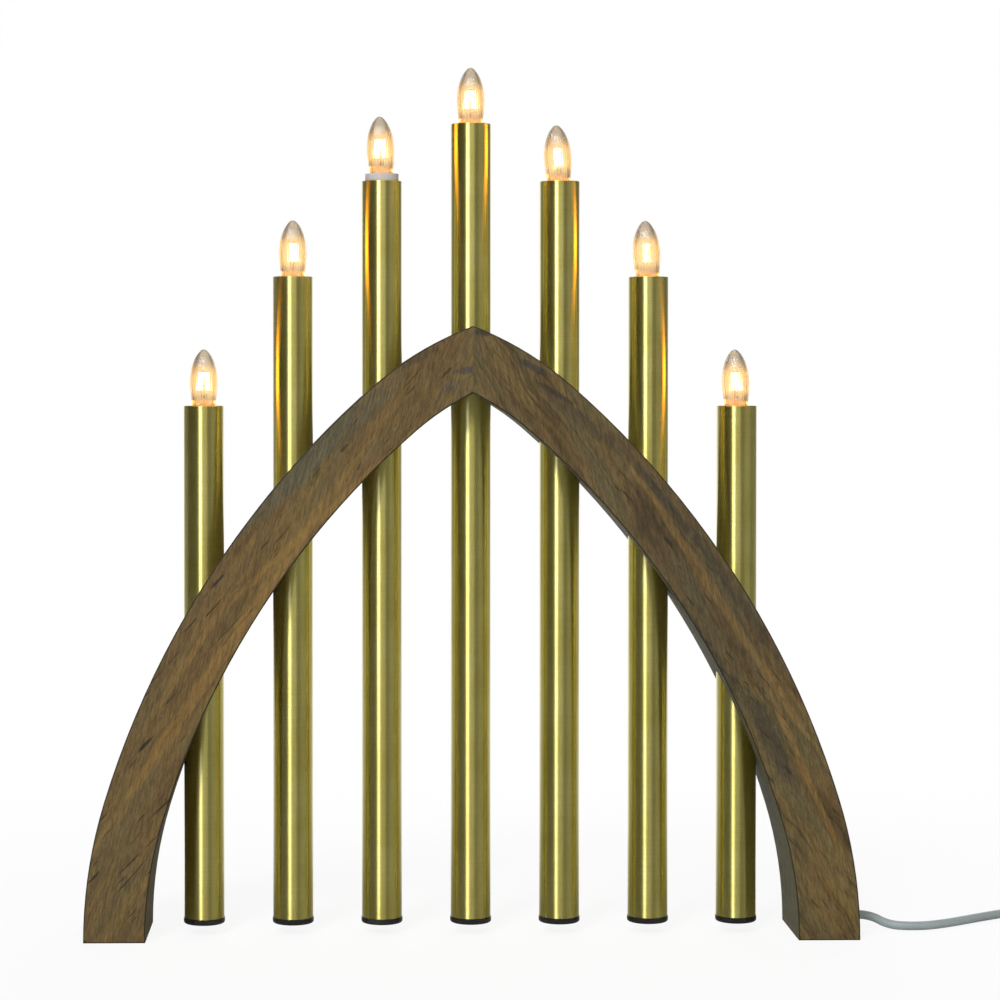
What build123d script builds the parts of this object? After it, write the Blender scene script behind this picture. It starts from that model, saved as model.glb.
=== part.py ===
from build123d import *

import math
import os

# An electric candle arch: a mitred wooden arch of four boards, glued round seven
# upright brass tubes, with a screw-in candle bulb in the top of each tube.
# Millimetres, +Z up, front towards -Y. The origin lies on the floor under the apex.

# Arch, whose outer edge is three tangent arcs a side from the foot to the apex
ARCH_HALF_WIDTH = 211.0
BAND = 33.5
BOARD = 30.0
FOOT_RADIUS = 260.0
SIDE_RADIUS = 490.0
CROWN_RADIUS = 174.6
EDGE_BREAK = 0.7

# Directions at the ends of the foot and side arcs, as shares of a right angle
FOOT_TURN_SHARE = 17 / 90
SIDE_TURN_SHARE = 49 / 90

# Dowels across the mitre
DOWEL_DIAMETER = 8.0
DOWEL_LENGTH = 36.0
DOWEL_FIT = 0.05
DOWEL_DROP = 20.0
DOWEL_WALL = 5.5

# Tubes, from the left; the outer ones are the shortest
TUBE_COUNT = 7
OUTER_TUBE_INSET = 64.0
TUBE_PITCH = (ARCH_HALF_WIDTH - OUTER_TUBE_INSET) / (TUBE_COUNT // 2)
TUBE_DIAMETER = 22.0
TUBE_WALL = 0.6
TUBE_EDGE_BREAK = 0.2
TUBE_FLOOR_GAP = 8.5
TUBE_LENGTHS = (282.0, 353.0, 405.5, 437.0)
TUBE_FIT = 0.05

# End caps
CAP_FLANGE = 3.1
CAP_LIP = 0.35
CAP_SPIGOT = 8.0
CAP_WALL = 1.4
CAP_ROUND = 1.2
CAP_FIT = 0.05

# Lamp holders, measured down from the rim of the tube
HOLDER_ROOM = 1.2
HOLDER_RIM = 1.5
HOLDER_DIAMETER = TUBE_DIAMETER - 2 * (TUBE_WALL + HOLDER_ROOM)
HOLDER_LENGTH = 37.0
HOLDER_RECESS = 0.6
HOLDER_PROUD = 4.0
PROUD_LAMP = 3
MOUTH_DIAMETER = HOLDER_DIAMETER - 2 * HOLDER_RIM
RIB_COUNT = 4
RIB_WIDTH = 1.4
RIB_LENGTH = 24.0
RIB_FIT = 0.05
TERMINAL_DEPTH = 3.0
TERMINAL_FIT = 0.15

# Screw shell and thread of the lamp
THREAD_DIAMETER = 9.5
THREAD_FIT = 0.08
SHELL_WALL = 0.4
SHELL_PAST_CONE = 0.4
SHELL_FIT = 0.05

# Bulb, whose heights are measured from the lower end of its glass
BULB_MOUTH_ROOM = 0.15
BULB_DIAMETER = MOUTH_DIAMETER - 2 * BULB_MOUTH_ROOM
BULB_HEIGHT = 39.2
BULB_ABOVE_RIM = 31.2
BULB_WALL = 0.8
BULB_NECK_DIAMETER = 10.4
BASE_COLLAR_DIAMETER = 10.8
BASE_COLLAR = 1.2
BASE_BARREL = 9.0
BASE_CONE = 2.2
BASE_TIP_DIAMETER = 3.4
BASE_TIP = 0.8
BULB_SEAT = 0.02

# Places on the bulb's outline, as shares of its greatest radius and its height
BULB_RADIUS_SHARES = (0.83, 1.0, 0.79, 0.46)
BULB_HEIGHT_SHARES = (0.2, 0.52, 0.81, 0.94)
BULB_FOOT_LEAN_SHARE = 0.2

# Filament mount
STEM_DIAMETER = 2.4
STEM_FOOT_DIAMETER = 7.0
STEM_FOOT = 1.6
STEM_HEIGHT_SHARE = 0.34
STRIP_DIAMETER = 1.5
STRIP_LOW_SHARE = 0.385
STRIP_HIGH_SHARE = 0.66
STRIP_SPREAD = 2.5
STRIP_CLOSE = 1.0
SUPPORT_DIAMETER = 0.7

# Sprung centre contact
CONTACT_DIAMETER = 4.8
CONTACT_HEAD = 1.0
CONTACT_STEM_DIAMETER = 2.4
CONTACT_STEM = 9.0
CONTACT_FIT = 0.05
CONTACT_CAVITY = 5.0
CONTACT_WELL_ROOM = 0.8
CONTACT_WELL_DEPTH = 7.0

# Coil spring round the contact's stem, as long as the screwed-in bulb presses it
SPRING_WIRE = 0.45
SPRING_TURNS = 3.5
SPRING_CLEARANCE = 0.2
SPRING_END_ROOM = 0.05

# Wire channel, routed to the same depth in front and back boards
CHANNEL_WIDTH = 7.0
CHANNEL_DEPTH = 3.0
LEAD_DIAMETER = 1.4
LEAD_LANE = 1.9
LEAD_RISER = 4.0
LEAD_BEND = 2.2
LEAD_STEPS_IN_LEG = 4
TUBE_WINDOW_DIAMETER = 6.0

# Cord bush in the outer side of the right leg
CORD_DIAMETER = 4.8
CORD_EXIT_HEIGHT = 8.4
BUSH_DIAMETER = 7.0
BUSH_IN_CHANNEL = 0.8
BUSH_FIT = 0.05
BUSH_FLANGE_DIAMETER = 9.0
BUSH_FLANGE = 1.2
BUSH_SNOUT = 1.3
BUSH_SNOUT_DIAMETER = 5.6

# Route of the cord's free stretch, from the mouth of the bush
CORD_ROUTE = (
    (221.2, 0.0, 8.4),
    (231.5, -0.3, 2.7),
    (242.6, -3.5, 2.4),
    (254.4, -1.8, 2.4),
    (267.4, 5.6, 2.4),
    (283.0, 17.4, 2.4),
    (303.0, 31.6, 2.4),
)
CORD_COIL_START = (328.0, 46.0, 2.4)

# Coil of the cord: two layers, in and out again
COIL_OUTER_RADIUS = 40.0
COIL_GAP = 0.55
COIL_TURNS = 7.2
COIL_STEPS_PER_TURN = 4
COIL_CLIMB_TURNS = 0.5

# Tail from the coil to the plug
TAIL_LENGTH = 18.0

# Flat two-pin plug, lying on its broad side
PLUG_LENGTH = 35.0
PLUG_WIDTH = 35.0
PLUG_THICKNESS = 13.7
PLUG_FACE_STRAIGHT = 9.0
PLUG_NECK_WIDTH = 13.0
PLUG_WAIST = 1.8
PLUG_ROUND = 2.4
PLUG_RELIEF = 20.0
PLUG_RELIEF_DIAMETER = 9.0
PLUG_RELIEF_WALL = 0.8
PIN_DIAMETER = 4.0
PIN_LENGTH = 19.0
PIN_SPACING = 18.6
PIN_ROOT = 5.0
PIN_FIT = 0.05

# Overrun of every cutter past the faces that it cuts
OVERRUN = 2.0

PARTS_DIR = "parts"


def tube_x(lamp):
    """Place of a tube across the arch, lamps numbered from 1 at the left."""
    return (lamp - (TUBE_COUNT + 1) / 2) * TUBE_PITCH


def tube_length(lamp):
    """Length of a tube, the same on both sides of the middle one."""
    return TUBE_LENGTHS[min(lamp, TUBE_COUNT + 1 - lamp) - 1]


def tube_top(lamp):
    """Height of a tube's upper rim."""
    return TUBE_FLOOR_GAP + tube_length(lamp)


def holder_top(lamp):
    """Height of a lamp holder's rim; one holder stands proud of its tube."""
    lift = HOLDER_PROUD if lamp == PROUD_LAMP else -HOLDER_RECESS
    return tube_top(lamp) + lift


def bulb_seat(lamp):
    """Height of the lower end of a bulb's glass."""
    return holder_top(lamp) + HOLDER_RECESS + BULB_ABOVE_RIM - BULB_HEIGHT


def arch_arcs():
    """Centre, radius, start and end angle of the three arcs of the right outer edge."""
    place, start = (ARCH_HALF_WIDTH, 0.0), 0.0
    arcs = []
    for radius, turn_share in (
        (FOOT_RADIUS, FOOT_TURN_SHARE),
        (SIDE_RADIUS, SIDE_TURN_SHARE),
        (CROWN_RADIUS, None),
    ):
        centre = on_arc(place, -radius, start)
        if turn_share is None:
            end = math.acos(-centre[0] / radius)
        else:
            end = turn_share * math.pi / 2
        arcs.append((centre, radius, start, end))
        place, start = on_arc(centre, radius, end), end
    return arcs


def arch_rise():
    """Height of the apex, where the crown arc meets the middle of the arch."""
    centre, radius, _, end = arch_arcs()[-1]
    return on_arc(centre, radius, end)[1]


def on_arc(centre, radius, angle):
    """Point of an arc at an angle from +X."""
    return (centre[0] + radius * math.cos(angle), centre[1] + radius * math.sin(angle))


def edge_arcs(inset):
    """Arcs of a line that lies an inset inside the outer edge, from foot to middle."""
    arcs = []
    for centre, outer, start, end in arch_arcs():
        radius = outer - inset
        middle = math.acos(-centre[0] / radius)
        arcs.append((centre, radius, start, min(middle, end)))
        if middle <= end:
            break
    return arcs


def edge_curves(inset):
    """The same line as arc edges, in the plane of the arch."""
    curves = []
    for centre, radius, start, end in edge_arcs(inset):
        stops = (start, (start + end) / 2, end)
        curves.append(ThreePointArc(*(on_arc(centre, radius, stop) for stop in stops)))
    return curves


def band_face(outer_inset, inner_inset):
    """Face between two lines of the right arch half."""
    outer, inner = edge_curves(outer_inset), edge_curves(inner_inset)
    mitre = Line(outer[-1] @ 1, inner[-1] @ 1)
    sole = Line(outer[0] @ 0, inner[0] @ 0)
    return Plane.XZ * make_face([*outer, mitre, *inner, sole])


def channel_height(x):
    """Height of the channel's middle line at a place across the arch."""
    place = abs(x)
    for centre, radius, start, end in edge_arcs(BAND / 2):
        if on_arc(centre, radius, end)[0] <= place:
            return centre[1] + math.sqrt(radius**2 - (place - centre[0]) ** 2)
    return on_arc(centre, radius, end)[1]


def channel_slope(x):
    """Direction of the channel's middle line at a place across the arch."""
    step = LEAD_DIAMETER
    low, high = channel_height(x - step), channel_height(x + step)
    return Vector(2 * step, 0, high - low).normalized()


def upright(radius, bottom, top, x=0.0, y=0.0):
    """Upright round bar between two heights."""
    bar = Cylinder(radius, top - bottom, align=(Align.CENTER, Align.CENTER, Align.MIN))
    return Pos(x, y, bottom) * bar


def turned(outline):
    """Solid turned about Z from radius and height points."""
    line = Polyline(*outline, close=True)
    return revolve(Plane.XZ * make_face(line), Axis.Z)


def channel(side):
    """Cutter of the wire channel in one arch half, +1 for the right one."""
    inset = BAND / 2 - CHANNEL_WIDTH / 2
    face = band_face(inset, inset + CHANNEL_WIDTH)
    cutter = extrude(face, CHANNEL_DEPTH, both=True)
    first = CORD_EXIT_HEIGHT if side > 0 else channel_height(tube_x(1) - LEAD_RISER)
    low = first - CHANNEL_WIDTH / 2
    keep = Pos(0, 0, low) * Box(
        2 * ARCH_HALF_WIDTH,
        2 * BOARD,
        arch_rise(),
        align=(Align.CENTER, Align.CENTER, Align.MIN),
    )
    if side < 0:
        cutter = mirror(cutter, Plane.YZ)
    return cutter & keep


def dowel(y, fit=0.0):
    """Dowel across the mitre, or its hole where a fit is given."""
    radius, length = DOWEL_DIAMETER / 2 + fit, DOWEL_LENGTH + 2 * fit
    bar = Cylinder(radius, length, rotation=(0, 90, 0))
    return Pos(0, y, arch_rise() - DOWEL_DROP) * bar


def dowel_places():
    """Depths of the two dowels, each between the middle tube and a face."""
    place = BOARD - DOWEL_WALL - DOWEL_DIAMETER / 2
    return (-place, place)


def bush_side():
    """Place of the right leg's outer side at the lower rim of the bush."""
    centre, radius, _, _ = edge_arcs(0.0)[0]
    rim = CORD_EXIT_HEIGHT - BUSH_FLANGE_DIAMETER / 2
    return centre[0] + math.sqrt(radius**2 - rim**2)


def bush_depth():
    """Length of the bush's shank, from the side of the leg into the channel."""
    return (BAND - CHANNEL_WIDTH) / 2 + BUSH_IN_CHANNEL


def arch_board(side, depth_side):
    """One board: side +1 is right and -1 left, depth_side +1 is back and -1 front."""
    face = band_face(0.0, BAND)
    board = extrude(face, BOARD, dir=(0, depth_side, 0))
    outer_face = board.faces().sort_by(Axis.Y)[-1 if depth_side > 0 else 0]
    edges = [edge for edge in outer_face.edges() if edge.center().X > EDGE_BREAK]
    board = chamfer(edges, EDGE_BREAK)
    if side < 0:
        board = mirror(board, Plane.YZ)
    board -= channel(side)
    radius = TUBE_DIAMETER / 2 + TUBE_FIT
    for lamp in range(1, TUBE_COUNT + 1):
        x = tube_x(lamp)
        if x * side >= 0:
            board -= upright(radius, -OVERRUN, arch_rise() + OVERRUN, x)
    for y in dowel_places():
        if y * depth_side > 0:
            board -= dowel(y, DOWEL_FIT)
    if side > 0:
        board -= cord_bore()
    return board


def cord_bore():
    """Cutter of the bush's bore, from outside the leg into the channel."""
    depth = bush_depth() + OVERRUN
    bore = Cylinder(BUSH_DIAMETER / 2 + BUSH_FIT, depth, rotation=(0, 90, 0))
    middle = bush_side() - bush_depth() + depth / 2
    return Pos(middle, 0, CORD_EXIT_HEIGHT) * bore


def tube(lamp):
    """Brass tube with a slanting window where the channel crosses it."""
    x, top = tube_x(lamp), tube_top(lamp)
    outer, inner = TUBE_DIAMETER / 2, TUBE_DIAMETER / 2 - TUBE_WALL
    body = upright(outer, TUBE_FLOOR_GAP, top)
    body = chamfer(body.edges().filter_by(GeomType.CIRCLE), TUBE_EDGE_BREAK)
    body -= upright(inner, TUBE_FLOOR_GAP - OVERRUN, top + OVERRUN)
    for window in windows(lamp):
        body -= Pos(-x, 0, 0) * window
    return Pos(x, 0, 0) * body


def windows(lamp):
    """Cutters through the two walls of a tube, along the channel on each side."""
    x, reach = tube_x(lamp), TUBE_DIAMETER
    cutters = []
    for way in (-1, 1):
        wall = x + way * TUBE_DIAMETER / 2
        centre = Vector(wall, 0, channel_height(wall))
        direction = channel_slope(wall)
        plane = Plane(origin=centre, z_dir=direction)
        cutters.append(plane * Cylinder(TUBE_WINDOW_DIAMETER / 2, reach / 2))
    return cutters


def end_cap(lamp):
    """Plastic cap with a rounded flange below the tube and a hollow spigot in it."""
    spigot = TUBE_DIAMETER / 2 - TUBE_WALL - CAP_FIT
    flange = TUBE_DIAMETER / 2 + CAP_LIP
    hollow = spigot - CAP_WALL
    body = turned(
        (
            (0, -CAP_FLANGE),
            (flange, -CAP_FLANGE),
            (flange, 0),
            (spigot, 0),
            (spigot, CAP_SPIGOT),
            (hollow, CAP_SPIGOT),
            (hollow, 0),
            (0, 0),
        )
    )
    rim = body.edges().filter_by(GeomType.CIRCLE).group_by(Axis.Z)[0]
    body = fillet(rim, CAP_ROUND)
    return Pos(tube_x(lamp), 0, TUBE_FLOOR_GAP) * body


def socket_levels():
    """Depths below the holder's rim of the mouth, shell seat, cavity and well floors."""
    mouth = BULB_HEIGHT - BULB_ABOVE_RIM - HOLDER_RECESS + BASE_COLLAR
    seat = mouth + BASE_BARREL + BASE_CONE + SHELL_PAST_CONE
    cavity = mouth + BASE_BARREL + BASE_CONE + BASE_TIP + CONTACT_CAVITY
    return mouth, seat, cavity, cavity + CONTACT_WELL_DEPTH


def lamp_holder(lamp):
    """White plastic holder with a stepped socket, friction ribs and two terminals."""
    outer, mouth = HOLDER_DIAMETER / 2, MOUTH_DIAMETER / 2
    shell = THREAD_DIAMETER / 2 + THREAD_FIT + SHELL_WALL + SHELL_FIT
    cavity = CONTACT_DIAMETER / 2 + CONTACT_WELL_ROOM
    well = CONTACT_STEM_DIAMETER / 2 + CONTACT_FIT
    mouth_floor, seat, cavity_floor, well_floor = socket_levels()
    body = turned(
        (
            (0, -HOLDER_LENGTH),
            (outer, -HOLDER_LENGTH),
            (outer, 0),
            (mouth, 0),
            (mouth, -mouth_floor),
            (shell, -mouth_floor),
            (shell, -seat),
            (cavity, -seat),
            (cavity, -cavity_floor),
            (well, -cavity_floor),
            (well, -well_floor),
            (0, -well_floor),
        )
    )
    reach = TUBE_DIAMETER / 2 - TUBE_WALL - RIB_FIT
    for index in range(RIB_COUNT):
        rib = Box(
            reach - outer + TUBE_WALL,
            RIB_WIDTH,
            RIB_LENGTH,
            align=(Align.MAX, Align.CENTER, Align.MIN),
        )
        turn = Rot(0, 0, (index + 1 / 2) * 360 / RIB_COUNT)
        body += turn * Pos(reach, 0, -HOLDER_LENGTH) * rib
    for riser, lane in riser_places(lamp):
        hole = LEAD_DIAMETER / 2 + TERMINAL_FIT
        low = -HOLDER_LENGTH - OVERRUN
        body -= upright(hole, low, TERMINAL_DEPTH - HOLDER_LENGTH, riser, lane)
    return Pos(tube_x(lamp), 0, holder_top(lamp)) * body


def riser_places(lamp):
    """Offsets of the incoming and the outgoing lead from the axis of a tube."""
    return ((-LEAD_RISER, LEAD_LANE), (LEAD_RISER, 0.0))


def screw_shell(lamp):
    """Thin rolled shell that takes the thread of the bulb's base."""
    bore = THREAD_DIAMETER / 2 + THREAD_FIT
    mouth, seat, _, _ = socket_levels()
    low, high = holder_top(lamp) - seat, holder_top(lamp) - mouth
    ring = upright(bore + SHELL_WALL, low, high, tube_x(lamp))
    return ring - upright(bore, low - OVERRUN, high + OVERRUN, tube_x(lamp))


def bulb_outline(wall):
    """Radius and height points of the glass, from its neck to just below its tip."""
    radius = BULB_DIAMETER / 2
    points = [(BULB_NECK_DIAMETER / 2 - wall, 0.0)]
    for across, up in zip(BULB_RADIUS_SHARES, BULB_HEIGHT_SHARES):
        points.append((across * radius - wall, up * (BULB_HEIGHT - wall)))
    return points


def bulb_glass(lamp):
    """Hollow candle-shaped shell, open at its neck."""
    ways = ((BULB_FOOT_LEAN_SHARE, 1.0), (-1.0, 0.0))
    curves = []
    for wall in (0.0, BULB_WALL):
        tip = (0.0, BULB_HEIGHT - 2 * wall)
        curves.append(Spline(*bulb_outline(wall), tip, tangents=ways))
    outer, inner = curves
    neck = Line(outer @ 0, inner @ 0)
    crown = Line(outer @ 1, inner @ 1)
    shell = revolve(Plane.XZ * make_face([outer, crown, inner, neck]), Axis.Z)
    return Pos(tube_x(lamp), 0, bulb_seat(lamp)) * shell


def bulb_base(lamp):
    """Screw base: collar under the glass, barrel, insulating cone and tip."""
    collar, barrel = BASE_COLLAR_DIAMETER / 2, THREAD_DIAMETER / 2
    tip = BASE_TIP_DIAMETER / 2
    low = -BASE_COLLAR - BASE_BARREL
    cone = low - BASE_CONE
    outline = (
        (0, 0),
        (collar, 0),
        (collar, -BASE_COLLAR),
        (barrel, -BASE_COLLAR),
        (barrel, low),
        (tip, cone),
        (tip, cone - BASE_TIP),
        (0, cone - BASE_TIP),
    )
    return Pos(tube_x(lamp), 0, bulb_seat(lamp)) * turned(outline)


def strut(start, end, radius):
    """Round bar between two points."""
    line = Line(start, end)
    return sweep(Plane(origin=line @ 0, z_dir=line % 0) * Circle(radius), path=line)


def bulb_filament(lamp):
    """Stem on the base that carries two glowing strips, closer at the top."""
    foot, stem = STEM_FOOT_DIAMETER / 2, STEM_DIAMETER / 2
    rise = BULB_HEIGHT * STEM_HEIGHT_SHARE
    low, high = BULB_HEIGHT * STRIP_LOW_SHARE, BULB_HEIGHT * STRIP_HIGH_SHARE
    outline = ((0, 0), (foot, 0), (foot, STEM_FOOT), (stem, 2 * STEM_FOOT), (stem, rise), (0, rise))
    mount = turned(outline)
    top = Vector(0, 0, high + STRIP_DIAMETER)
    for way in (-1, 1):
        start, end = Vector(way * STRIP_SPREAD, 0, low), Vector(way * STRIP_CLOSE, 0, high)
        mount += strut(start, end, STRIP_DIAMETER / 2)
        mount += strut(Vector(0, 0, low - STRIP_DIAMETER), start, SUPPORT_DIAMETER / 2)
        mount += strut(end, top, SUPPORT_DIAMETER / 2)
    mount += strut(Vector(0, 0, rise - STEM_DIAMETER), top, SUPPORT_DIAMETER / 2)
    return Pos(tube_x(lamp), 0, bulb_seat(lamp)) * mount


def centre_contact(lamp):
    """Button and stem under the bulb's tip."""
    head, stem = CONTACT_DIAMETER / 2, CONTACT_STEM_DIAMETER / 2
    outline = (
        (0, 0),
        (head, 0),
        (head, -CONTACT_HEAD),
        (stem, -CONTACT_HEAD),
        (stem, -CONTACT_HEAD - CONTACT_STEM),
        (0, -CONTACT_HEAD - CONTACT_STEM),
    )
    reach = BASE_COLLAR + BASE_BARREL + BASE_CONE + BASE_TIP + BULB_SEAT
    return Pos(tube_x(lamp), 0, bulb_seat(lamp) - reach) * turned(outline)


def contact_spring(lamp):
    """Pressed coil spring between the floor of the cavity and the contact's head."""
    wire = SPRING_WIRE / 2
    room = CONTACT_CAVITY - CONTACT_HEAD - BULB_SEAT
    height = room - 2 * (wire + SPRING_END_ROOM)
    radius = CONTACT_STEM_DIAMETER / 2 + SPRING_CLEARANCE + wire
    path = Helix(pitch=height / SPRING_TURNS, height=height, radius=radius)
    section = Plane(origin=path @ 0, z_dir=path % 0) * Circle(wire)
    spring = sweep(section, path=path, is_frenet=True)
    floor = holder_top(lamp) - socket_levels()[2]
    return Pos(tube_x(lamp), 0, floor + SPRING_END_ROOM + wire) * spring


def corner_radii(points, largest):
    """Arc at each corner: 0.45 of the shorter run over the tangent of half the turn."""
    radii = []
    for before, corner, after in zip(points, points[1:], points[2:]):
        into, out = corner - before, after - corner
        half_turn = math.radians(into.get_angle(out)) / 2
        shorter = min(into.length, out.length)
        radii.append(min(0.45 * shorter / math.tan(half_turn), largest))
    return radii


def round_cord(points, diameter, largest=math.inf):
    """Tube along straight runs joined by tangent arcs, with its radii and length."""
    places = [Vector(*point) for point in points]
    radii = corner_radii(places, largest)
    path = FilletPolyline(*places, radius=radii)
    section = Plane(origin=path @ 0, z_dir=path % 0) * Circle(diameter / 2)
    return sweep(section, path=path), radii, path.length


def channel_point(x, lane):
    """Point of the channel's middle line, moved to a lane across its depth."""
    return (x, lane, channel_height(x))


def leg_points(lane):
    """Points up the channel of the right leg, from the bush to the last tube."""
    low = CORD_EXIT_HEIGHT
    centre, radius, _, _ = edge_arcs(BAND / 2)[0]
    foot = centre[0] + math.sqrt(radius**2 - low**2)
    last = tube_x(TUBE_COUNT) + TUBE_DIAMETER / 2
    start = bush_side() - bush_depth()
    points = [(start, lane / 2, low), (foot, lane / 2, low)]
    for step in range(1, LEAD_STEPS_IN_LEG):
        x = foot + (last - foot) * (step / LEAD_STEPS_IN_LEG) ** 2
        points.append(channel_point(x, lane))
    points.append(channel_point(last, lane))
    return points


def riser(lamp, place, lane):
    """Corner in the tube and end in the terminal of a lead that goes up to a holder."""
    x = tube_x(lamp) + place
    if lamp == (TUBE_COUNT + 1) / 2:
        wall = tube_x(lamp) - math.copysign(TUBE_DIAMETER / 2, place)
        slope = channel_slope(wall)
        corner = channel_height(wall) + abs(slope.Z / slope.X * (x - wall))
    else:
        corner = channel_height(x)
    end = holder_top(lamp) - HOLDER_LENGTH + TERMINAL_DEPTH
    return [(x, lane, corner), (x, lane, end)]


def series_leads():
    """Leads from the cord to the last lamp, and from each lamp to the next one."""
    leads = []
    route = leg_points(LEAD_LANE) + riser(TUBE_COUNT, -LEAD_RISER, LEAD_LANE)
    leads.append(round_cord(route, LEAD_DIAMETER, LEAD_BEND)[0])
    for lamp in range(TUBE_COUNT, 1, -1):
        middle = (tube_x(lamp) + tube_x(lamp - 1)) / 2
        route = riser(lamp, LEAD_RISER, 0.0)[::-1]
        route.append(channel_point(middle, LEAD_LANE / 2))
        route += riser(lamp - 1, -LEAD_RISER, LEAD_LANE)
        leads.append(round_cord(route, LEAD_DIAMETER, LEAD_BEND)[0])
    return leads


def return_lead():
    """Lead from the cord through every tube to the first lamp."""
    route = leg_points(-LEAD_LANE)
    for lamp in range(TUBE_COUNT, 1, -1):
        route.append(channel_point(tube_x(lamp), -LEAD_LANE))
        middle = (tube_x(lamp) + tube_x(lamp - 1)) / 2
        route.append(channel_point(middle, -LEAD_LANE))
    route += riser(1, LEAD_RISER, 0.0)
    return round_cord(route, LEAD_DIAMETER, LEAD_BEND)[0]


def cord_gland():
    """Bush moulded on the cord: shank in the leg, flange and a short tapered snout."""
    shank, flange = BUSH_DIAMETER / 2, BUSH_FLANGE_DIAMETER / 2
    mouth = BUSH_FLANGE + BUSH_SNOUT
    outline = (
        (0, -bush_depth()),
        (shank, -bush_depth()),
        (shank, 0),
        (flange, 0),
        (flange, BUSH_FLANGE),
        (shank, BUSH_FLANGE),
        (BUSH_SNOUT_DIAMETER / 2, mouth),
        (0, mouth),
    )
    place = Plane(origin=(bush_side(), 0, CORD_EXIT_HEIGHT), z_dir=(1, 0, 0))
    return place * turned(outline)


def cord_start():
    """Mouth of the bush, where the free stretch of the cord begins."""
    return (bush_side() + BUSH_FLANGE + BUSH_SNOUT, 0.0, CORD_EXIT_HEIGHT)


def coil_heading():
    """Direction in which the cord runs into its coil, across the floor."""
    return (Vector(*CORD_COIL_START) - Vector(*CORD_ROUTE[-1])).normalized()


def coil_pitch():
    """Distance between neighbouring turns and between the two layers."""
    return CORD_DIAMETER + COIL_GAP


def coil_angle(turn):
    """Angle about the coil's middle after a number of turns, clockwise from above."""
    heading = coil_heading()
    slip = math.atan2(coil_pitch(), math.tau * COIL_OUTER_RADIUS)
    return math.atan2(heading.X, -heading.Y) + slip - turn * math.tau


def coil_radius(turn):
    """Distance from the coil's middle: inwards below, then outwards above."""
    half = COIL_TURNS / 2
    return COIL_OUTER_RADIUS - coil_pitch() * (half - abs(turn - half))


def coil_climb(turn):
    """Share of the climb to the upper layer, made where the spiral turns back."""
    climb = (turn - COIL_TURNS / 2) / COIL_CLIMB_TURNS + 1 / 2
    return min(max(climb, 0.0), 1.0)


def around(angle):
    """Level direction at an angle from +X."""
    return Vector(math.cos(angle), math.sin(angle), 0)


def coil_point(turn):
    """Point of the coil's middle line after a number of turns."""
    centre = Vector(*CORD_COIL_START) - around(coil_angle(0.0)) * COIL_OUTER_RADIUS
    share = coil_climb(turn)
    rise = Vector(0, 0, coil_pitch() * share**2 * (3 - 2 * share))
    return centre + around(coil_angle(turn)) * coil_radius(turn) + rise


def coil_tangent(turn):
    """Direction of the coil's middle line after a number of turns."""
    share = coil_climb(turn)
    inwards = math.copysign(coil_pitch(), turn - COIL_TURNS / 2)
    along = around(coil_angle(turn) - math.pi / 2) * (math.tau * coil_radius(turn))
    rise = 6 * share * (1 - share) * coil_pitch() / COIL_CLIMB_TURNS
    way = along + around(coil_angle(turn)) * inwards + Vector(0, 0, rise)
    return way.normalized()


def biarc(start, start_way, end, end_way):
    """Two tangent arcs from one point and direction to another."""
    chord = end - start
    ways = start_way + end_way
    spread = 2 * (1 - start_way.dot(end_way))
    along = chord.dot(ways)
    reach = (math.sqrt(along**2 + spread * chord.dot(chord)) - along) / spread
    middle = (start + end + (start_way - end_way) * reach) / 2
    first = Edge.make_tangent_arc(start, start_way, middle)
    second = Edge.make_tangent_arc(middle, first % 1, end)
    return [first, second]


def coil_edges():
    """Straight ends and the arcs of the coil between them."""
    count = round(COIL_TURNS * COIL_STEPS_PER_TURN)
    turns = [COIL_TURNS * index / count for index in range(count + 1)]
    ends = CORD_DIAMETER
    first, last = coil_tangent(0.0), coil_tangent(COIL_TURNS)
    start, stop = coil_point(0.0), coil_point(COIL_TURNS)
    edges = [Edge.make_line(start - first * ends, start)]
    for low, high in zip(turns, turns[1:]):
        way_in = coil_tangent(low)
        way_out = coil_tangent(high)
        edges += biarc(coil_point(low), way_in, coil_point(high), way_out)
    edges.append(Edge.make_line(stop, stop + last * ends))
    return edges


def coil_least_gap(samples_per_turn=60):
    """Least gap between turns of the coil, measured on points."""
    count = round(COIL_TURNS * samples_per_turn)
    points = [coil_point(COIL_TURNS * index / count) for index in range(count + 1)]
    apart = samples_per_turn // 2
    least = math.inf
    for index, point in enumerate(points):
        for other in points[index + apart :]:
            least = min(least, (other - point).length)
    return least - CORD_DIAMETER


def cord_coil():
    """Coil of the unseen length as one tube, with its length."""
    path = Wire(coil_edges())
    section = Plane(origin=path @ 0, z_dir=path % 0) * Circle(CORD_DIAMETER / 2)
    return sweep(section, path=path), path.length


def cord_lead():
    """Free stretch of the cord from the bush to the coil."""
    end = coil_point(0.0) - coil_tangent(0.0) * CORD_DIAMETER
    return round_cord([cord_start(), *CORD_ROUTE, tuple(end)], CORD_DIAMETER)


def tail_points():
    """Points of the tail, from the end of the coil down to the plug's middle height."""
    way = coil_tangent(COIL_TURNS)
    start = coil_point(COIL_TURNS) + way * CORD_DIAMETER
    drop = Vector(0, 0, PLUG_THICKNESS / 2 - start.Z)
    run = TAIL_LENGTH / 3
    return [
        start,
        start + way * run,
        start + way * (2 * run) + drop,
        start + way * (3 * run) + drop,
    ]


def plug_frame():
    """Frame of the plug: origin at the end of the tail, Z along the plug."""
    way = coil_tangent(COIL_TURNS)
    return Plane(origin=tail_points()[-1], x_dir=(0, 0, 1), z_dir=way)


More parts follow.
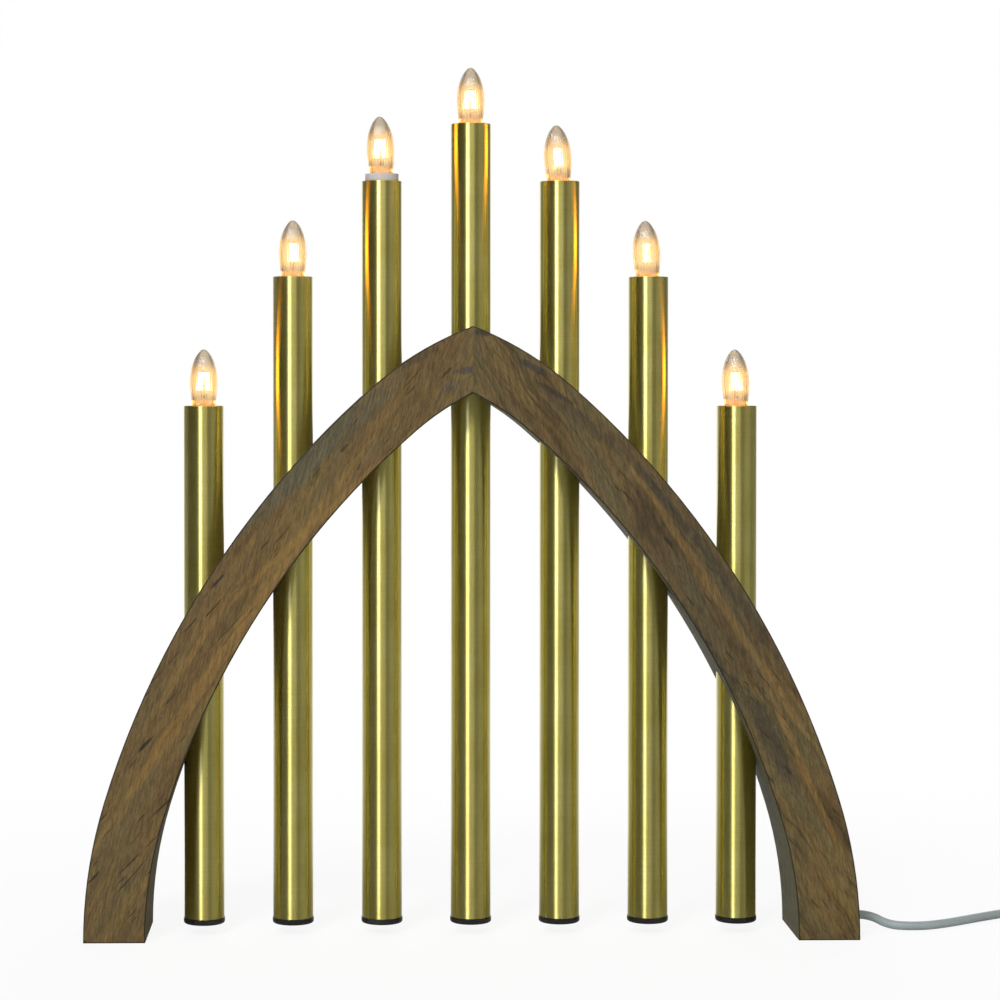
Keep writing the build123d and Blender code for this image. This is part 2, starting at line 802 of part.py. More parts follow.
def plug_body():
    """Moulded plug with a tapered strain relief, lying on its broad side."""
    neck, wide = PLUG_NECK_WIDTH / 2, PLUG_WIDTH / 2
    low, high = PLUG_RELIEF, PLUG_RELIEF + PLUG_LENGTH
    shoulder = high - PLUG_FACE_STRAIGHT
    waist = ((neck + wide) / 2 - PLUG_WAIST, (low + shoulder) / 2)
    right = [
        Line((0, low), (neck, low)),
        ThreePointArc((neck, low), waist, (wide, shoulder)),
        Line((wide, shoulder), (wide, high)),
        Line((wide, high), (0, high)),
    ]
    face = make_face([*right, *(mirror(edge, Plane.YZ) for edge in right)])
    body = extrude(Plane.YZ * face, PLUG_THICKNESS / 2, both=True)
    body = fillet(body.edges().filter_by(Axis.X, reverse=True), PLUG_ROUND)
    relief = turned(
        (
            (0, 0),
            (CORD_DIAMETER / 2 + PLUG_RELIEF_WALL, 0),
            (PLUG_RELIEF_DIAMETER / 2, PLUG_RELIEF),
            (PLUG_RELIEF_DIAMETER / 2, PLUG_RELIEF + PLUG_ROUND),
            (0, PLUG_RELIEF + PLUG_ROUND),
        )
    )
    body += relief
    for pin in pins(PIN_FIT):
        body -= pin
    return plug_frame() * body


def pins(fit=0.0):
    """The two pins, rooted in the plug, in the plug's own frame."""
    face = PLUG_RELIEF + PLUG_LENGTH
    low, high = face - PIN_ROOT, face + PIN_LENGTH
    bars = []
    for way in (-1, 1):
        bar = upright(PIN_DIAMETER / 2 + fit, low, high, 0, way * PIN_SPACING / 2)
        if not fit:
            bar = fillet(bar.edges().group_by(Axis.Z)[-1], PIN_DIAMETER / 4)
        bars.append(bar)
    return bars


def save(name, *solids):
    """Write the solids of one node to its file."""
    shape = Compound(children=list(solids)) if len(solids) > 1 else solids[0]
    export_step(shape, os.path.join(PARTS_DIR, f"{name}.step"))


def main():
    """Build every piece and write one file for each node."""
    os.makedirs(PARTS_DIR, exist_ok=True)
    lamps = range(1, TUBE_COUNT + 1)
    save("front_left_board", arch_board(-1, -1))
    save("front_right_board", arch_board(1, -1))
    save("back_left_board", arch_board(-1, 1))
    save("back_right_board", arch_board(1, 1))
    save("apex_dowels", *(dowel(y) for y in dowel_places()))
    save("end_caps", *(end_cap(lamp) for lamp in lamps))
    save("screw_shells", *(screw_shell(lamp) for lamp in lamps))
    save("contact_springs", *(contact_spring(lamp) for lamp in lamps))
    for lamp in lamps:
        save(f"tube_{lamp}", tube(lamp))
        save(f"lamp_holder_{lamp}", lamp_holder(lamp))
        save(f"centre_contact_{lamp}", centre_contact(lamp))
        save(f"bulb_base_{lamp}", bulb_base(lamp))
        save(f"bulb_glass_{lamp}", bulb_glass(lamp))
        save(f"bulb_filament_{lamp}", bulb_filament(lamp))
    save("series_leads", *series_leads())
    save("return_lead", return_lead())
    save("cord_gland", cord_gland())
    lead, lead_radii, lead_length = cord_lead()
    save("cord_lead", lead)
    print("cord lead radii", [round(radius, 1) for radius in lead_radii])
    coil, coil_length = cord_coil()
    save("cord_coil", coil)
    print("coil least gap", round(coil_least_gap(), 3))
    tail, tail_radii, tail_length = round_cord(tail_points(), CORD_DIAMETER)
    save("cord_tail", tail)
    print("cord tail radii", [round(radius, 1) for radius in tail_radii])
    section = math.pi * CORD_DIAMETER**2 / 4
    for name, solid, length in (
        ("lead", lead, lead_length),
        ("coil", coil, coil_length),
        ("tail", tail, tail_length),
    ):
        share = solid.volume / (section * length)
        print(name, "length", round(length, 1), "volume share", round(share, 4))
    print("cord length", round(lead_length + coil_length + tail_length, 1))
    save("plug_body", plug_body())
    save("plug_pins", *(plug_frame() * pin for pin in pins()))


main()
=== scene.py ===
"""Looks of an electric candle arch: stained pine, brushed brass tubes and glowing candle bulbs."""

import logging
import math
from dataclasses import dataclass, replace
from enum import Enum
from typing import Any, Callable, Mapping, Sequence, Union

import bmesh
import bpy
from mathutils import Matrix, Vector


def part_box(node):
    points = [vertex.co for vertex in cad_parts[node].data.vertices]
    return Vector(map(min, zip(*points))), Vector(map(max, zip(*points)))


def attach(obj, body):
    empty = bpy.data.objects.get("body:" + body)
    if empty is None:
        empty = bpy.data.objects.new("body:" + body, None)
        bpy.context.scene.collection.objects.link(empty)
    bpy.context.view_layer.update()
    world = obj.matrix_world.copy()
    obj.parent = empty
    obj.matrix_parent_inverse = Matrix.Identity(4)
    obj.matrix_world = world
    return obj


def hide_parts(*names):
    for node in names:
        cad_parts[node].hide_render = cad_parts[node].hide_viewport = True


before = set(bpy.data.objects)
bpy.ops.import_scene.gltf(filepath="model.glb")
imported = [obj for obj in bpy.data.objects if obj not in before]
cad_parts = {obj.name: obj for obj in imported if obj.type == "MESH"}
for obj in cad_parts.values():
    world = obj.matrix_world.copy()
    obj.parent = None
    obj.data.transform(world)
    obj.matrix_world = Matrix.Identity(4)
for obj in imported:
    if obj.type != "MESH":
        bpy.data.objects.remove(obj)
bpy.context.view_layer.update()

MM = 0.001
LAMPS = range(1, 8)
LOG = logging.getLogger("candle_arch")
Colour = tuple[float, float, float]
Point = tuple[float, float, float]
Line = Sequence[tuple[float, float]]
Value = Union["Sock", float, str, Sequence[float]]


class Slot(Enum):
    """Material slots of the record; nothing here reads them, and new pieces get their finish directly."""

    CORD = "cord_grey"
    GLASS = "bulb_glass_clear"
    GLOW = "filament_glow"
    BASE = "base_nickel"


def math_node(operation: str, reflected: bool = False) -> Callable[..., "Sock"]:
    """Makes a method that adds one Math node to its socket's tree.

    Args:
        operation: The Math node's operation.
        reflected: Whether the socket itself stands last.

    Returns:
        The method, which takes the other values.
    """
    def method(sock: "Sock", *others: Value) -> "Sock":
        """Adds the Math node."""
        values = (*others, sock) if reflected else (sock, *others)
        return sock.tree.made("ShaderNodeMath", 0, dict(enumerate(values)), operation=operation)

    return method


class Sock:
    """An output socket that takes part in Python sums."""

    __add__, __radd__ = math_node("ADD"), math_node("ADD", reflected=True)
    __sub__, __rsub__ = math_node("SUBTRACT"), math_node("SUBTRACT", reflected=True)
    __mul__, __rmul__ = math_node("MULTIPLY"), math_node("MULTIPLY", reflected=True)
    __pow__, __abs__ = math_node("POWER"), math_node("ABSOLUTE")
    larger, smaller = math_node("MAXIMUM"), math_node("MINIMUM")
    sine, cosine = math_node("SINE"), math_node("COSINE")

    def __init__(self, tree: "Tree", socket: bpy.types.NodeSocket) -> None:
        """Wraps an output socket of a tree under construction."""
        self.tree = tree
        self.socket = socket

    def between(self, low: float, high: float) -> "Sock":
        """Eases from 0 at the first value to 1 at the second."""
        return self.tree.made("ShaderNodeMapRange", 0, {"Value": self, "From Min": low, "From Max": high},
                              interpolation_type="SMOOTHSTEP", clamp=True)


class Tree:
    """A node tree under construction."""

    def __init__(self, data: bpy.types.NodeTree) -> None:
        """Takes an empty node tree."""
        self.data = data

    def node(self, kind: str, inputs: Mapping[Any, Value], **settings: Any) -> bpy.types.Node:
        """Adds any node.

        Args:
            kind: The node's type.
            inputs: Values or links by socket name or number.
            **settings: Node settings, set before its sockets.

        Returns:
            The node.
        """
        node = self.data.nodes.new(kind)
        for name, value in settings.items():
            setattr(node, name, value)
        for name, value in inputs.items():
            socket = node.inputs[name]
            if isinstance(value, Sock):
                self.data.links.new(value.socket, socket)
            elif socket.type == "RGBA":
                socket.default_value = (*value, 1.0)
            else:
                socket.default_value = value
        return node

    def made(self, kind: str, output: Union[int, str], inputs: Union[Mapping[Any, Value], None] = None,
             **settings: Any) -> Sock:
        """Adds any node and gives one of its outputs, by name or number."""
        return Sock(self, self.node(kind, inputs or {}, **settings).outputs[output])

    def parts(self, vector: Value) -> list[Sock]:
        """The three parts of a vector."""
        return [Sock(self, part) for part in self.node("ShaderNodeSeparateXYZ", {0: vector}).outputs]

    def joined(self, x: Value, y: Value, z: Value) -> Sock:
        """A vector from three parts."""
        return self.made("ShaderNodeCombineXYZ", 0, {0: x, 1: y, 2: z})


class Shader(Tree):
    """A node material under construction, on Object coordinates."""

    def __init__(self, name: str) -> None:
        """Starts an empty material.

        Args:
            name: The material's name.
        """
        self.material = bpy.data.materials.new(name)
        self.material.use_nodes = True
        super().__init__(self.material.node_tree)
        self.data.nodes.clear()

    def place(self) -> Sock:
        """Object coordinates."""
        return self.made("ShaderNodeTexCoord", "Object")

    def leaned(self, vector: Value, lean: float, shift: Point = (0.0, 0.0, 0.0)) -> Sock:
        """Turns a vector so that its Z runs along a lean in radians, and shifts it."""
        inputs = {"Vector": vector, "Rotation": (0.0, -lean, 0.0), "Location": shift}
        return self.made("ShaderNodeMapping", 0, inputs)

    def noise(self, vector: Value, grain: Point, detail: float, roughness: float = 0.5) -> Sock:
        """Adds noise about 0.5.

        Args:
            vector: Where it is read.
            grain: Its size along each axis in millimetres.
            detail: How many finer layers it has.
            roughness: How much they count.

        Returns:
            The noise.
        """
        scale = tuple(1.0 / (size * MM) for size in grain)
        spot = self.made("ShaderNodeVectorMath", 0, {0: vector, 1: scale}, operation="MULTIPLY")
        inputs = {"Vector": spot, "Scale": 1.0, "Detail": detail, "Roughness": roughness}
        return self.made("ShaderNodeTexNoise", 0, inputs)

    def mixed(self, share: Value, first: Value, second: Value) -> Sock:
        """Colour between two colours."""
        return self.made("ShaderNodeMix", 2, {0: share, 6: first, 7: second}, data_type="RGBA")

    def tinted(self, colour: Value, brightness: Value) -> Sock:
        """Colour times a brightness."""
        scale = self.joined(brightness, brightness, brightness)
        return self.made("ShaderNodeVectorMath", 0, {0: colour, 1: scale}, operation="MULTIPLY")

    def bump(self, height: Value, strength: float, depth: float) -> Sock:
        """Normal bent by a height from 0 to 1, which stands for a depth in metres."""
        return self.made("ShaderNodeBump", 0, {"Height": height, "Strength": strength, "Distance": depth})

    def surface(self, inputs: Mapping[Any, Value]) -> bpy.types.Material:
        """Ends the material in one Principled shader."""
        return self.ended(self.made("ShaderNodeBsdfPrincipled", 0, inputs))

    def ended(self, shader: Sock) -> bpy.types.Material:
        """Ends the material in a given shader."""
        self.node("ShaderNodeOutputMaterial", {0: shader})
        return self.material


@dataclass(frozen=True)
class Blotch:
    """One mark on the wood, an ellipse on the front of the arch in millimetres."""

    x: float
    z: float
    length: float
    width: float
    lean: float
    share: float
    colour: Colour = (0.045, 0.038, 0.030)


@dataclass(frozen=True)
class StainedPine:
    """Grey-brown stain on sawn pine, its grain straight along the chord of one arch half."""

    name: str
    lean: float
    seed: float
    brown: Colour = (0.158, 0.099, 0.037)
    orange: Colour = (0.225, 0.136, 0.031)
    green_grey: Colour = (0.122, 0.098, 0.043)
    dark: Colour = (0.042, 0.034, 0.015)
    edge: Colour = (0.028, 0.023, 0.015)
    shaded_side: Colour = (0.112, 0.100, 0.058)
    depth: float = 1.0
    tone: float = 1.0
    weathered: float = 1.0
    blotches: tuple[Blotch, ...] = ()
    warp_grain: Point = (40.0, 50.0, 70.0)
    warp_reach: float = 22 * MM
    band_grain: Point = (8.0, 24.0, 300.0)
    streak_grain: Point = (2.6, 8.0, 110.0)
    patch_grain: Point = (14.0, 20.0, 70.0)
    mottle_grain: Point = (4.0, 6.0, 6.0)
    fibre_grain: Point = (0.9, 1.4, 7.0)
    fibre_lean: float = 0.45
    sliver_grain: Point = (1.5, 6.0, 17.0)
    sliver_lean: float = 1.32

    def marked(self, s: Shader, place: Sock, colour: Sock, ragged: Sock) -> Sock:
        """Lays the single marks over a colour.

        Args:
            s: The shader.
            place: Object coordinates.
            colour: The colour under the marks.
            ragged: Noise that frays their rims.

        Returns:
            The marked colour.
        """
        for mark in self.blotches:
            middle = (mark.x * MM, 0.0, mark.z * MM)
            spot = s.made("ShaderNodeVectorMath", 0, {0: place, 1: middle}, operation="SUBTRACT")
            across, _, along = s.parts(s.leaned(spot, math.radians(mark.lean)))
            reach = (across * (2 / MM / mark.width)) ** 2 + (along * (2 / MM / mark.length)) ** 2
            mask = 1.0 - (reach + (ragged - 0.5) * 4.0).between(0.2, 1.5)
            colour = s.mixed(mask * mark.share, colour, mark.colour)
        return colour

    def material(self) -> bpy.types.Material:
        """Builds the wood: stain first, then grain, marks, light fibres, painted shade on the side faces,
        and edges.

        Returns:
            The finished material.
        """
        s = Shader(self.name)
        shift = (self.seed, 0.7 * self.seed, 0.3 * self.seed)
        place = s.place()
        grain = s.leaned(place, self.lean, shift)
        warp = s.noise(grain, self.warp_grain, 3.0)
        across, deep, along = s.parts(grain)
        bent = s.joined(across + (warp - 0.5) * self.warp_reach, deep, along)
        bands = s.noise(bent, self.band_grain, 3.0, 0.5)
        streaks = s.noise(bent, self.streak_grain, 3.0, 0.6)
        patches = s.noise(bent, self.patch_grain, 3.0, 0.55)
        mottle = s.noise(place, self.mottle_grain, 4.0, 0.7)
        fibres = s.noise(s.leaned(place, self.fibre_lean * self.lean, shift), self.fibre_grain, 3.0, 0.75)
        slivers = s.noise(s.leaned(place, self.sliver_lean * self.lean, shift), self.sliver_grain, 1.5)

        orange = bands.between(0.50, 0.64) * (0.4 + mottle).smaller(1.0)
        shade = patches.between(0.48, 0.68) * self.depth
        colour = s.mixed(patches.between(0.62, 0.40) * self.weathered, self.brown, self.green_grey)
        colour = s.mixed(orange * 0.32, colour, self.orange)
        colour = s.mixed(shade.smaller(1.0) * 0.5, colour, self.dark)
        colour = s.mixed(streaks.between(0.52, 0.68) * 0.45 * self.depth, colour, self.dark)
        colour = s.mixed((1.0 - streaks).between(0.55, 0.7) * 0.3, colour, self.orange)
        dashes = slivers.between(0.67, 0.71) * (fibres + 0.3).smaller(1.0)
        colour = s.mixed(dashes * 0.85, colour, self.edge)
        colour = self.marked(s, place, colour, 0.5 * mottle + 0.5 * streaks)
        light = 0.70 + 0.60 * fibres.between(0.30, 0.70)
        colour = s.tinted(colour, light * (0.76 + 0.48 * mottle) * self.tone)

        # Painted shade: faces turned sideways from the front, found by their normal, take a darker, greyer
        # copy of the stain.
        facing = abs(s.parts(s.made("ShaderNodeNewGeometry", "Normal"))[1])
        side = 1.0 - facing.between(0.35, 0.75)
        colour = s.mixed(side * 0.75, colour, s.tinted(self.shaded_side, 0.35 + 1.2 * streaks))
        corner = facing.between(0.15, 0.45) * (1.0 - facing.between(0.8, 0.98))
        colour = s.mixed(corner * 0.8, colour, self.edge)
        height = streaks * 0.35 + fibres * 0.75 + mottle * 0.3 - dashes * 0.6
        return s.surface({
            "Base Color": colour,
            "Roughness": 0.6 + 0.2 * fibres,
            "Specular IOR Level": 0.2,
            "Normal": s.bump(height, 0.8, 0.6 * MM),
        })


@dataclass(frozen=True)
class BrushedBrass:
    """Lacquered brass, brushed round the tube so that it smears mirrored lights upright."""

    name: str = "brushed_brass"
    colour: Colour = (0.82, 0.735, 0.235)
    dull: Colour = (0.72, 0.625, 0.162)
    roughness: float = 0.36

    def material(self) -> bpy.types.Material:
        """Builds the brass."""
        s = Shader(self.name)
        place = s.place()
        rings = s.noise(place, (40.0, 40.0, 0.5), 3.0, 0.7)
        cloud = s.noise(place, (11.0, 11.0, 28.0), 3.0)
        colour = s.mixed(cloud.between(0.3, 0.75), self.colour, self.dull)
        return s.surface({
            "Base Color": s.tinted(colour, 0.88 + 0.24 * rings),
            "Metallic": 1.0,
            "Roughness": self.roughness - 0.04 + 0.08 * rings,
            "Anisotropic": 1.0,
            "Anisotropic Rotation": 0.25,
            "Coat Weight": 0.6,
            "Coat Roughness": 0.12,
            "Normal": s.bump(rings, 0.25, 0.02 * MM),
        })


@dataclass(frozen=True)
class PlainMetal:
    """Plated or stamped metal with faint handling marks."""

    name: str
    colour: Colour
    roughness: float = 0.25

    def material(self) -> bpy.types.Material:
        """Builds the metal."""
        s = Shader(self.name)
        marks = s.noise(s.place(), (2.0, 2.0, 2.0), 4.0, 0.6)
        return s.surface({
            "Base Color": s.tinted(self.colour, 0.85 + 0.3 * marks),
            "Metallic": 1.0,
            "Roughness": self.roughness - 0.06 + 0.12 * marks,
            "Normal": s.bump(marks, 0.1, 0.02 * MM),
        })


@dataclass(frozen=True)
class MouldedPlastic:
    """Moulded plastic with a fine spark-eroded grain and faint dust."""

    name: str
    colour: Colour
    dust: Colour
    roughness: float = 0.45
    gloss: float = 0.5

    def material(self) -> bpy.types.Material:
        """Builds the plastic."""
        s = Shader(self.name)
        place = s.place()
        grit = s.noise(place, (0.5, 0.5, 0.5), 3.0, 0.6)
        dirt = s.noise(place, (12.0, 12.0, 18.0), 4.0, 0.6)
        return s.surface({
            "Base Color": s.mixed(dirt.between(0.5, 0.8) * 0.5, self.colour, self.dust),
            "Roughness": self.roughness - 0.05 + 0.1 * grit,
            "Specular IOR Level": self.gloss,
            "Normal": s.bump(grit, 0.15, 0.04 * MM),
        })


@dataclass(frozen=True)
class RibbedGlass:
    """Ribbed glass with a painted glow, standing in for the light that its own filament throws on it."""

    name: str = "ribbed_glass"
    cool: Colour = (0.72, 0.67, 0.59)
    warm: Colour = (0.80, 0.68, 0.52)
    glow: Colour = (1.0, 0.64, 0.25)
    ember: Colour = (1.0, 0.42, 0.10)
    strength: float = 0.19

    def material(self) -> bpy.types.Material:
        """Builds the glass."""
        s = Shader(self.name)
        up = s.made("ShaderNodeAttribute", "Fac", attribute_name="along")
        uneven = s.noise(s.place(), (2.5, 2.5, 6.0), 3.0)
        level = up + (uneven - 0.5) * 0.16
        # Painted glow: the shell emits light of its own, brightest in the band beside the strips and weakest
        # at the tip, for the filament light that the glass scatters.
        lit = level.between(0.19, 0.29) * (1.0 - level.between(0.42, 0.66))
        tip = level.between(0.5, 0.72)
        glow = s.mixed(level.between(0.1, 0.26), self.ember, self.glow)
        return s.surface({
            "Base Color": s.mixed(tip, self.warm, self.cool),
            "Roughness": 0.13,
            "IOR": 1.45,
            "Transmission Weight": 1.0,
            "Emission Color": s.tinted(glow, 0.3 - 0.2 * tip + 0.7 * lit),
            "Emission Strength": self.strength,
        })


@dataclass(frozen=True)
class ClearGlass:
    """Plain glass of the stem inside a bulb, with a painted orange glow for the light of the strips above
    it.
    """

    name: str = "stem_glass"
    colour: Colour = (0.9, 0.8, 0.7)
    ember: Colour = (1.0, 0.42, 0.10)

    def material(self) -> bpy.types.Material:
        """Builds the glass."""
        s = Shader(self.name)
        streaks = s.noise(s.place(), (1.0, 1.0, 5.0), 2.0)
        return s.surface({
            "Base Color": self.colour,
            "Roughness": 0.1,
            "IOR": 1.45,
            "Transmission Weight": 1.0,
            # Painted glow: the stem emits streaky orange light of its own.
            "Emission Color": s.tinted(self.ember, 0.1 + 0.5 * streaks),
            "Emission Strength": 1.0,
        })


@dataclass(frozen=True)
class GlowingStrip:
    """Phosphor coat over a row of lit chips."""

    name: str = "glowing_strip"
    unlit: Colour = (0.95, 0.72, 0.25)
    colour: Colour = (1.0, 0.66, 0.32)
    chip: Colour = (1.0, 0.82, 0.55)
    strength: float = 18.0

    def material(self) -> bpy.types.Material:
        """Builds the phosphor."""
        s = Shader(self.name)
        chips = s.noise(s.place(), (3.0, 3.0, 0.7), 1.0)
        return s.surface({
            "Base Color": self.unlit,
            "Roughness": 0.6,
            "Emission Color": s.mixed(chips.between(0.35, 0.65), self.colour, self.chip),
            "Emission Strength": self.strength,
        })


@dataclass(frozen=True)
class PaperSweep:
    """Pale studio paper that shows white to the camera, and behind the object to metal and glass."""

    name: str = "paper_sweep"
    white: Colour = (0.88, 0.88, 0.88)
    grey: Colour = (0.27, 0.27, 0.26)

    def material(self) -> bpy.types.Material:
        """Builds the paper, which keeps the object's shadow."""
        s = Shader(self.name)
        across, back, up = s.parts(s.place())
        camera, glossy, through = (s.made("ShaderNodeLightPath", f"Is {ray} Ray") for ray in
                                   ("Camera", "Glossy", "Transmission"))
        mirrored = glossy.larger(through)
        wedge = 1.0 - (abs(across) - 0.25 * (back + 1.5)).between(0.1, 0.6)
        behind = back.between(0.0, 0.5) * wedge
        plain = s.mixed(mirrored * (1.0 - behind), self.white, self.grey)
        paper = s.made("ShaderNodeBsdfDiffuse", 0, {"Color": plain})
        white = s.made("ShaderNodeEmission", 0, {"Color": (1.0, 1.0, 1.0), "Strength": 1.0})
        share = camera.larger(mirrored * behind) * (0.88 + 0.11 * (back + up).between(0.05, 0.6))
        return s.ended(s.made("ShaderNodeMixShader", 0, {0: share, 1: paper, 2: white}))


class MeshMaker:
    """Turns plain point and face lists into finished mesh objects."""

    dome_share: float = 0.6

    @staticmethod
    def from_bmesh(name: str, body: bmesh.types.BMesh, material: bpy.types.Material) -> bpy.types.Object:
        """Makes a smooth object from a bmesh and frees it.

        Args:
            name: Name of the object and its mesh.
            body: The bmesh.
            material: Its finish.

        Returns:
            The new object, linked to the scene.
        """
        bmesh.ops.recalc_face_normals(body, faces=body.faces)
        mesh = bpy.data.meshes.new(name)
        body.to_mesh(mesh)
        body.free()
        mesh.materials.append(material)
        mesh.shade_smooth()
        piece = bpy.data.objects.new(name, mesh)
        bpy.context.scene.collection.objects.link(piece)
        return piece

    @staticmethod
    def circle(radius: float, sides: int, height: float = 0.0) -> list[Vector]:
        """Points round the Z axis."""
        turns = [math.tau * side / sides for side in range(sides)]
        return [Vector((radius * math.cos(turn), radius * math.sin(turn), height)) for turn in turns]

    @staticmethod
    def bridge(body: bmesh.types.BMesh, rings: Sequence[Sequence[Vector]]) -> None:
        """Adds a closed form through rings of points.

        Args:
            body: The bmesh that it joins.
            rings: The points of each ring, and one point for each pole.
        """
        corners = [[body.verts.new(point) for point in ring] for ring in rings]
        for lower, upper in zip(corners, corners[1:]):
            sides = max(len(lower), len(upper))
            for side in range(sides):
                after = (side + 1) % sides
                face = (lower[side % len(lower)], lower[after % len(lower)],
                        upper[after % len(upper)], upper[side % len(upper)])
                body.faces.new(list(dict.fromkeys(face)))

    @classmethod
    def add_turned(cls, body: bmesh.types.BMesh, outline: Line, place: Matrix, sides: int) -> None:
        """Adds a closed turned form.

        Args:
            body: The bmesh that it joins.
            outline: Radius and height points from the lower to the upper pole.
            place: Where it stands.
            sides: Faces round it.
        """
        rings = [cls.circle(radius, sides if radius else 1, height) for radius, height in outline]
        cls.bridge(body, [[place @ point for point in ring] for ring in rings])

    @classmethod
    def add_wire(cls, body: bmesh.types.BMesh, points: Sequence[Vector], radius: float, sides: int) -> None:
        """Adds a round wire with domed ends.

        Args:
            body: The bmesh that it joins.
            points: The wire's middle line.
            radius: The wire's radius.
            sides: Faces round it.
        """
        rings = []
        for before, point, after in zip([points[0], *points], points, [*points[1:], points[-1]]):
            turn = (after - before).to_track_quat("Z", "Y").to_matrix()
            rings.append([point + turn @ arm for arm in cls.circle(radius, sides)])
        domes = [point + (point - beside).normalized() * radius * cls.dome_share
                 for point, beside in ((points[0], points[1]), (points[-1], points[-2]))]
        cls.bridge(body, [domes[:1], *rings, domes[1:]])


def unseen(piece: bpy.types.Object, *rays: str) -> None:
    """Hides an object from some kinds of ray."""
    for ray in rays:
        setattr(piece, f"visible_{ray}", False)


class GeometryRecipe(Tree):
    """A Geometry Nodes tree with named inputs that ends in Realize Instances and Set Material."""

    def __init__(self, name: str, numbers: Mapping[str, float]) -> None:
        """Starts the tree.

        Args:
            name: The tree's name.
            numbers: Its named inputs with their defaults.
        """
        super().__init__(bpy.data.node_groups.new(name, "GeometryNodeTree"))
        self.socket("Geometry", "Geometry")
        for label, value in numbers.items():
            self.socket(label, "Int" if isinstance(value, int) else "Float").default_value = value
        self.socket("Material", "Material")
        self.socket("Geometry", "Geometry", "OUTPUT")
        self.inlet = self.node("NodeGroupInput", {})

    def socket(self, label: str, kind: str, way: str = "INPUT") -> bpy.types.NodeTreeInterfaceSocket:
        """Adds one input or output of the tree."""
        return self.data.interface.new_socket(label, in_out=way, socket_type=f"NodeSocket{kind}")

    def put(self, label: str) -> Sock:
        """What one of the tree's inputs holds."""
        return Sock(self, self.inlet.outputs[label])

    def curve(self, share: Sock, points: Line) -> Sock:
        """Adds a smooth curve through points between 0 and 1.

        Args:
            share: The value that it reads.
            points: Places and heights, those of the two ends first.

        Returns:
            The curve's value.
        """
        node = self.node("ShaderNodeFloatCurve", {"Value": share})
        line = node.mapping.curves[0]
        for end, spot in zip(line.points, points):
            end.location = spot
        for place, height in points[2:]:
            line.points.new(place, height)
        node.mapping.update()
        return Sock(self, node.outputs[0])

    def end(self, geometry: Sock) -> None:
        """Closes the tree on a geometry."""
        real = self.made("GeometryNodeRealizeInstances", 0, {0: geometry})
        dressed = self.made("GeometryNodeSetMaterial", 0, {0: real, "Material": self.put("Material")})
        self.node("NodeGroupOutput", {0: dressed})

    def make(self, name: str, material: bpy.types.Material, place: Matrix,
             **numbers: float) -> bpy.types.Object:
        """Runs the tree once and keeps the result as a plain mesh.

        Args:
            name: Name of the new object.
            material: Its finish.
            place: Where its mesh goes.
            **numbers: Inputs by name, with underscores for spaces.

        Returns:
            The new object at the origin.
        """
        carrier = bpy.data.objects.new(name, bpy.data.meshes.new(name))
        bpy.context.scene.collection.objects.link(carrier)
        modifier = carrier.modifiers.new("recipe", "NODES")
        modifier.node_group = self.data
        wanted = {label.replace("_", " "): value for label, value in numbers.items()}
        wanted["Material"] = material
        for item in self.data.interface.items_tree:
            if item.in_out == "INPUT" and item.name in wanted:
                modifier[item.identifier] = wanted[item.name]
        graph = bpy.context.evaluated_depsgraph_get()
        mesh = bpy.data.meshes.new_from_object(carrier.evaluated_get(graph))
        carrier.modifiers.remove(modifier)
        old = carrier.data
        carrier.data = mesh
        bpy.data.meshes.remove(old)
        mesh.name = name
        mesh.transform(place)
        return carrier


def wavy_turning(name: str, radius_line: Line, height_line: Line, wave_line: Line,
                 wall_line: Union[Line, None]) -> GeometryRecipe:
    """Recipe of a turned form whose surface carries ribs or a thread.

    Args:
        name: Name of the tree.
        radius_line: Share of the radius along the outline.
        height_line: Share of the height along the outline.
        wave_line: Share of the wave's depth along the outline.
        wall_line: Share of the wall along the outline, or None for a solid.

    Returns:
        The recipe, with inputs for radius, height, wall, wave and fineness.
    """
    recipe = GeometryRecipe(name, {
        "Radius": 8 * MM, "Height": 39 * MM, "Wall": 0.8 * MM, "Wave Depth": 0.1 * MM,
        "Waves Around": 1, "Waves Along": 0.0, "Rings": 48, "Segments": 96,
    })
    put, curve, made = recipe.put, recipe.curve, recipe.made
    grid = made("GeometryNodeMeshGrid", 0, {"Size X": 1.0, "Size Y": 1.0,
                                            "Vertices X": put("Segments") + 1, "Vertices Y": put("Rings")})
    x, y, _ = recipe.parts(made("GeometryNodeInputPosition", 0))
    angle, along = (x + 0.5) * math.tau, y + 0.5
    height = curve(along, height_line) * put("Height")
    phase = angle * put("Waves Around") + height * put("Waves Along")
    wave = phase.cosine() * put("Wave Depth") * curve(along, wave_line)
    smooth = curve(along, radius_line) * put("Radius")
    skins = [(smooth + wave, height)]
    if wall_line is not None:
        wall = curve(along, wall_line) * put("Wall")
        drop = wall * curve(along, ((0.0, 0.0), (1.0, 1.0), (0.8, 0.0)))
        skins.append(((smooth - wall).larger(0.0), height - drop))
    named = made("GeometryNodeStoreNamedAttribute", 0, {"Geometry": grid, "Name": "along", "Value": along},
                 data_type="FLOAT", domain="POINT")
    joined = recipe.node("GeometryNodeJoinGeometry", {})
    for inside, (radius, level) in enumerate(skins):
        spot = recipe.joined(radius * angle.cosine(), radius * angle.sine(), level)
        skin = made("GeometryNodeSetPosition", 0, {"Geometry": named, "Position": spot})
        if inside:
            skin = made("GeometryNodeFlipFaces", 0, {0: skin})
        recipe.data.links.new(skin.socket, joined.inputs[0])
    merged = made("GeometryNodeMergeByDistance", 0,
                  {0: Sock(recipe, joined.outputs[0]), "Distance": 0.002 * MM})
    recipe.end(made("GeometryNodeSetShadeSmooth", 0, {0: merged}))
    return recipe


